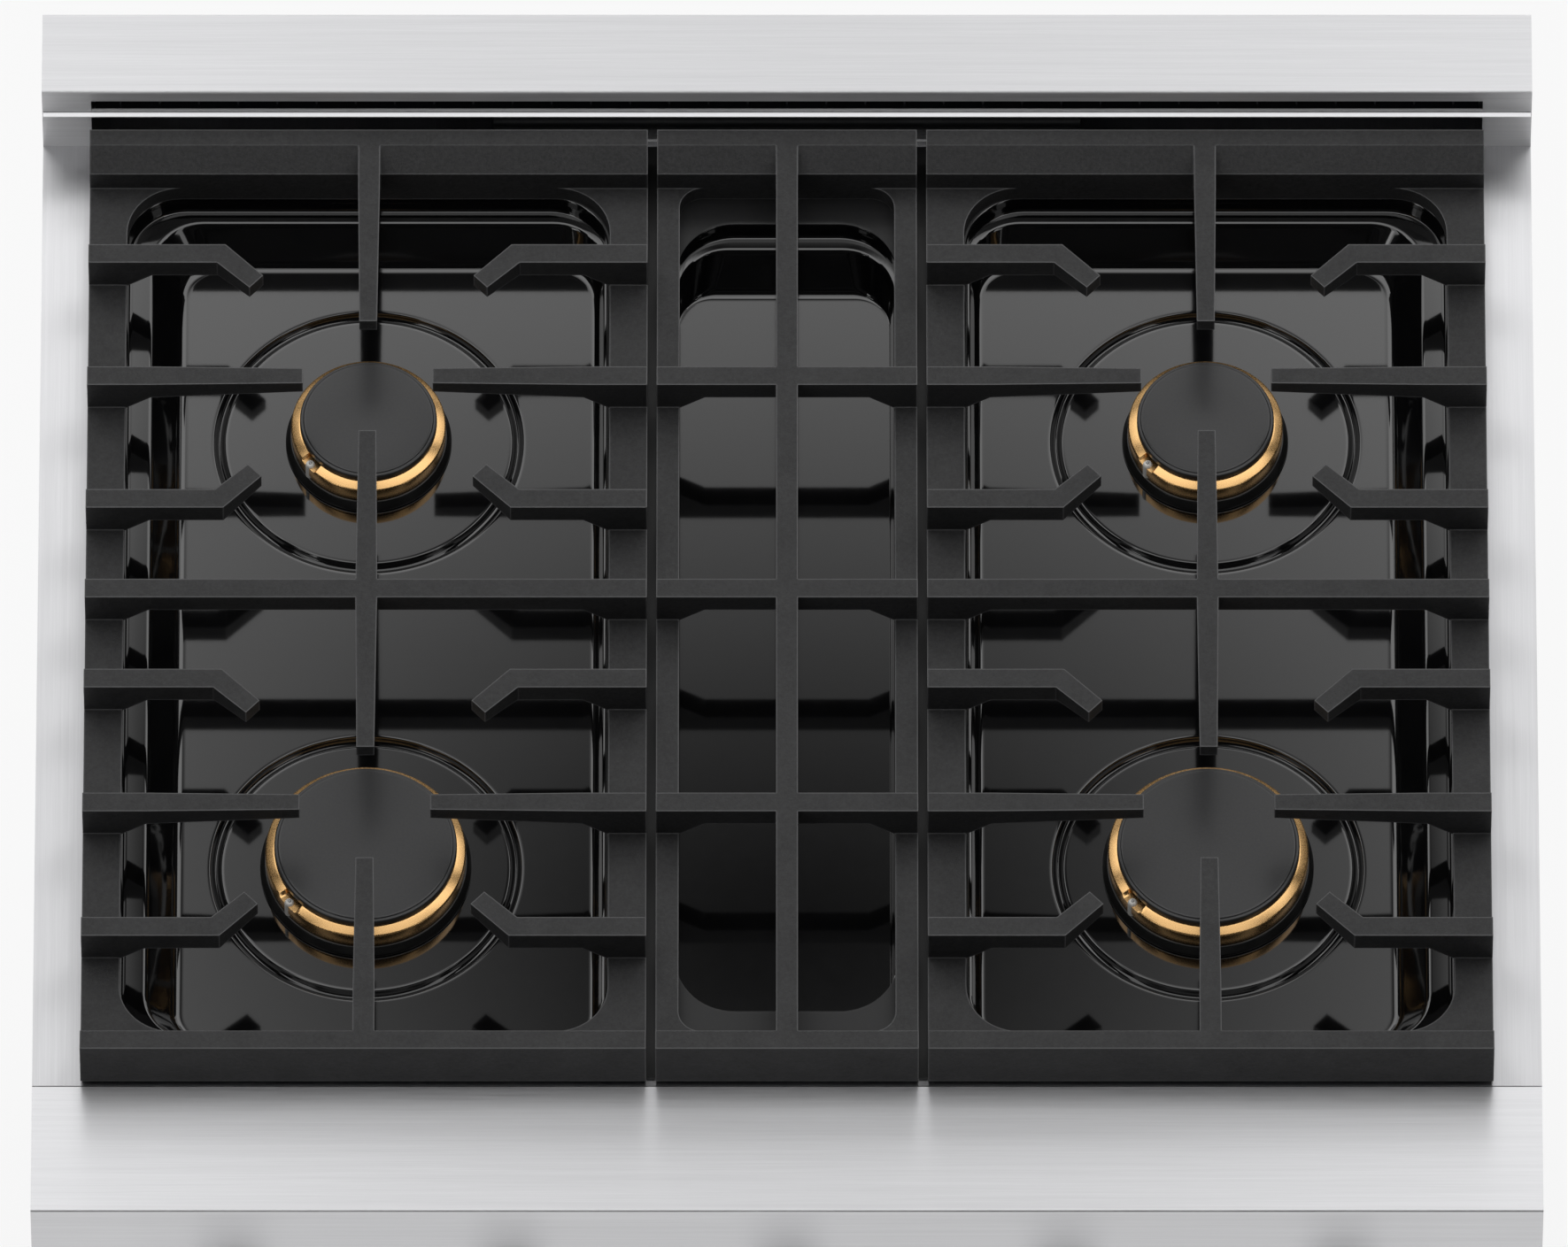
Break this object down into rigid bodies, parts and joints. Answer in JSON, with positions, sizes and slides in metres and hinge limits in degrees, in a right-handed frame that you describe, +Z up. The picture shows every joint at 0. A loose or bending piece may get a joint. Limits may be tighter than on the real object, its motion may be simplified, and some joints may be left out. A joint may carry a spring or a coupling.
{
  "type": "freestanding gas range",
  "caption": "Freestanding gas range with cast-iron grates, brass-ringed burners, a low rear guard, front knobs and a drop-down oven door.",
  "frame": {"origin": "centre of the bounding box's base, on the floor under the range", "axes": "+X to the right seen from the front, +Y to the back, +Z up; the oven door faces -Y"},
  "size_m": [0.76, 0.737, 0.964],
  "materials": {
    "brushed_stainless": "brushed",
    "polished_stainless": "satin",
    "cast_iron": "matt",
    "matt_enamel": "matt",
    "gloss_enamel": "gloss",
    "dark_coated_steel": "satin",
    "galvanised_steel": "dull",
    "brass": "machined",
    "ceramic": "glazed",
    "black_plastic": "matt",
    "aluminium": "drawn",
    "chromed_wire": "plated",
    "plain_steel": "plain",
    "mineral_wool": "fibrous",
    "gasket": "matt",
    "oven_glass": "gloss",
    "knob_metal": "satin",
    "leg_steel": "satin"
  },
  "bodies": {
    "cabinet": {"base_frame": "galvanised_steel", "side_panel_left": "dark_coated_steel", "side_panel_right": "dark_coated_steel", "rear_panel": "galvanised_steel", "fasteners": "chromed_wire", "kick_panel": "brushed_stainless", "front_ledge": "brushed_stainless", "cooktop_frame": "brushed_stainless", "drip_pan": "gloss_enamel", "back_guard": "brushed_stainless", "guard_louvre": "dark_coated_steel", "burner_bases": "matt_enamel", "flame_rings": "brass", "igniters": "ceramic", "control_panel": "brushed_stainless", "gas_valves": "brass", "gas_manifold": "aluminium", "burner_tubes": "aluminium", "pressure_regulator": "aluminium", "spark_module": "black_plastic", "power_inlet": "black_plastic", "oven_front_frame": "dark_coated_steel", "oven_liner": "gloss_enamel", "oven_insulation": "mineral_wool", "oven_flue": "galvanised_steel", "oven_floor": "gloss_enamel", "bake_burner": "plain_steel", "broil_burner": "plain_steel", "rack_guides": "chromed_wire", "door_gasket": "gasket"},
    "oven_door": {"door_outer_panel": "brushed_stainless", "door_inner_panel": "gloss_enamel", "door_outer_glass": "oven_glass", "door_inner_glass": "oven_glass", "door_handle_bar": "polished_stainless", "door_handle_posts": "polished_stainless", "door_hinge_arms": "plain_steel"},
    "rack_lower": {"oven_rack_lower": "chromed_wire"},
    "rack_upper": {"oven_rack_upper": "chromed_wire"},
    "grate_left": {"grate_left": "cast_iron"},
    "grate_center": {"grate_center": "cast_iron"},
    "grate_right": {"grate_right": "cast_iron"},
    "cap_left_front": {"burner_cap_left_front": "matt_enamel"},
    "cap_left_rear": {"burner_cap_left_rear": "matt_enamel"},
    "cap_right_front": {"burner_cap_right_front": "matt_enamel"},
    "cap_right_rear": {"burner_cap_right_rear": "matt_enamel"},
    "stem_left_front": {"valve_stem_left_front": "plain_steel"},
    "knob_left_front": {"knob_left_front": "knob_metal"},
    "stem_left_rear": {"valve_stem_left_rear": "plain_steel"},
    "knob_left_rear": {"knob_left_rear": "knob_metal"},
    "stem_oven": {"valve_stem_oven": "plain_steel"},
    "knob_oven": {"knob_oven": "knob_metal"},
    "stem_right_rear": {"valve_stem_right_rear": "plain_steel"},
    "knob_right_rear": {"knob_right_rear": "knob_metal"},
    "stem_right_front": {"valve_stem_right_front": "plain_steel"},
    "knob_right_front": {"knob_right_front": "knob_metal"},
    "leg_front_left": {"leg_front_left": "leg_steel"},
    "leg_front_right": {"leg_front_right": "leg_steel"},
    "leg_rear_left": {"leg_rear_left": "leg_steel"},
    "leg_rear_right": {"leg_rear_right": "leg_steel"}
  },
  "joints": [
    {"name": "door_hinge", "type": "hinge", "parent": "cabinet", "child": "oven_door", "pos_m": [0, -0.2635, 0.174], "axis": [1, 0, 0], "range_deg": [0, 90], "stiffness_Nm_per_rad": 16, "springref_deg": -28.65},
    {"name": "rack_lower_slide", "type": "slide", "parent": "cabinet", "child": "rack_lower", "axis": [0, -1, 0], "range_m": [0, 0.236]},
    {"name": "rack_upper_slide", "type": "slide", "parent": "cabinet", "child": "rack_upper", "axis": [0, -1, 0], "range_m": [0, 0.236]},
    {"name": "grate_left_lift", "type": "slide", "parent": "cabinet", "child": "grate_left", "axis": [0, 0, 1], "range_m": [0, 0.06]},
    {"name": "grate_center_lift", "type": "slide", "parent": "cabinet", "child": "grate_center", "axis": [0, 0, 1], "range_m": [0, 0.06]},
    {"name": "grate_right_lift", "type": "slide", "parent": "cabinet", "child": "grate_right", "axis": [0, 0, 1], "range_m": [0, 0.06]},
    {"name": "cap_left_front_lift", "type": "slide", "parent": "cabinet", "child": "cap_left_front", "axis": [0, 0, 1], "range_m": [0, 0.02]},
    {"name": "cap_left_rear_lift", "type": "slide", "parent": "cabinet", "child": "cap_left_rear", "axis": [0, 0, 1], "range_m": [0, 0.02]},
    {"name": "cap_right_front_lift", "type": "slide", "parent": "cabinet", "child": "cap_right_front", "axis": [0, 0, 1], "range_m": [0, 0.02]},
    {"name": "cap_right_rear_lift", "type": "slide", "parent": "cabinet", "child": "cap_right_rear", "axis": [0, 0, 1], "range_m": [0, 0.02]},
    {"name": "knob_left_front_push", "type": "slide", "parent": "cabinet", "child": "stem_left_front", "axis": [0, 1, 0], "range_m": [0, 0.003], "stiffness_N_per_m": 800, "springref_m": -0.002},
    {"name": "knob_left_front_turn", "type": "hinge", "parent": "stem_left_front", "child": "knob_left_front", "pos_m": [-0.28, -0.3125, 0.816], "axis": [0, -1, 0], "range_deg": [0, 240]},
    {"name": "knob_left_rear_push", "type": "slide", "parent": "cabinet", "child": "stem_left_rear", "axis": [0, 1, 0], "range_m": [0, 0.003], "stiffness_N_per_m": 800, "springref_m": -0.002},
    {"name": "knob_left_rear_turn", "type": "hinge", "parent": "stem_left_rear", "child": "knob_left_rear", "pos_m": [-0.14, -0.3125, 0.816], "axis": [0, -1, 0], "range_deg": [0, 240]},
    {"name": "knob_oven_push", "type": "slide", "parent": "cabinet", "child": "stem_oven", "axis": [0, 1, 0], "range_m": [0, 0.003], "stiffness_N_per_m": 800, "springref_m": -0.002},
    {"name": "knob_oven_turn", "type": "hinge", "parent": "stem_oven", "child": "knob_oven", "pos_m": [0, -0.3125, 0.816], "axis": [0, -1, 0], "range_deg": [0, 300]},
    {"name": "knob_right_rear_push", "type": "slide", "parent": "cabinet", "child": "stem_right_rear", "axis": [0, 1, 0], "range_m": [0, 0.003], "stiffness_N_per_m": 800, "springref_m": -0.002},
    {"name": "knob_right_rear_turn", "type": "hinge", "parent": "stem_right_rear", "child": "knob_right_rear", "pos_m": [0.14, -0.3125, 0.816], "axis": [0, -1, 0], "range_deg": [0, 240]},
    {"name": "knob_right_front_push", "type": "slide", "parent": "cabinet", "child": "stem_right_front", "axis": [0, 1, 0], "range_m": [0, 0.003], "stiffness_N_per_m": 800, "springref_m": -0.002},
    {"name": "knob_right_front_turn", "type": "hinge", "parent": "stem_right_front", "child": "knob_right_front", "pos_m": [0.28, -0.3125, 0.816], "axis": [0, -1, 0], "range_deg": [0, 240]},
    {"name": "leg_front_left_level", "type": "slide", "parent": "cabinet", "child": "leg_front_left", "axis": [0, 0, -1], "range_m": [0, 0.025]},
    {"name": "leg_front_right_level", "type": "slide", "parent": "cabinet", "child": "leg_front_right", "axis": [0, 0, -1], "range_m": [0, 0.025]},
    {"name": "leg_rear_left_level", "type": "slide", "parent": "cabinet", "child": "leg_rear_left", "axis": [0, 0, -1], "range_m": [0, 0.025]},
    {"name": "leg_rear_right_level", "type": "slide", "parent": "cabinet", "child": "leg_rear_right", "axis": [0, 0, -1], "range_m": [0, 0.025]}
  ],
  "couplings": [
    {"joint": "rack_lower_slide", "follows": "door_hinge", "m_per_rad": 0.15},
    {"joint": "rack_upper_slide", "follows": "door_hinge", "m_per_rad": 0.15}
  ]
}
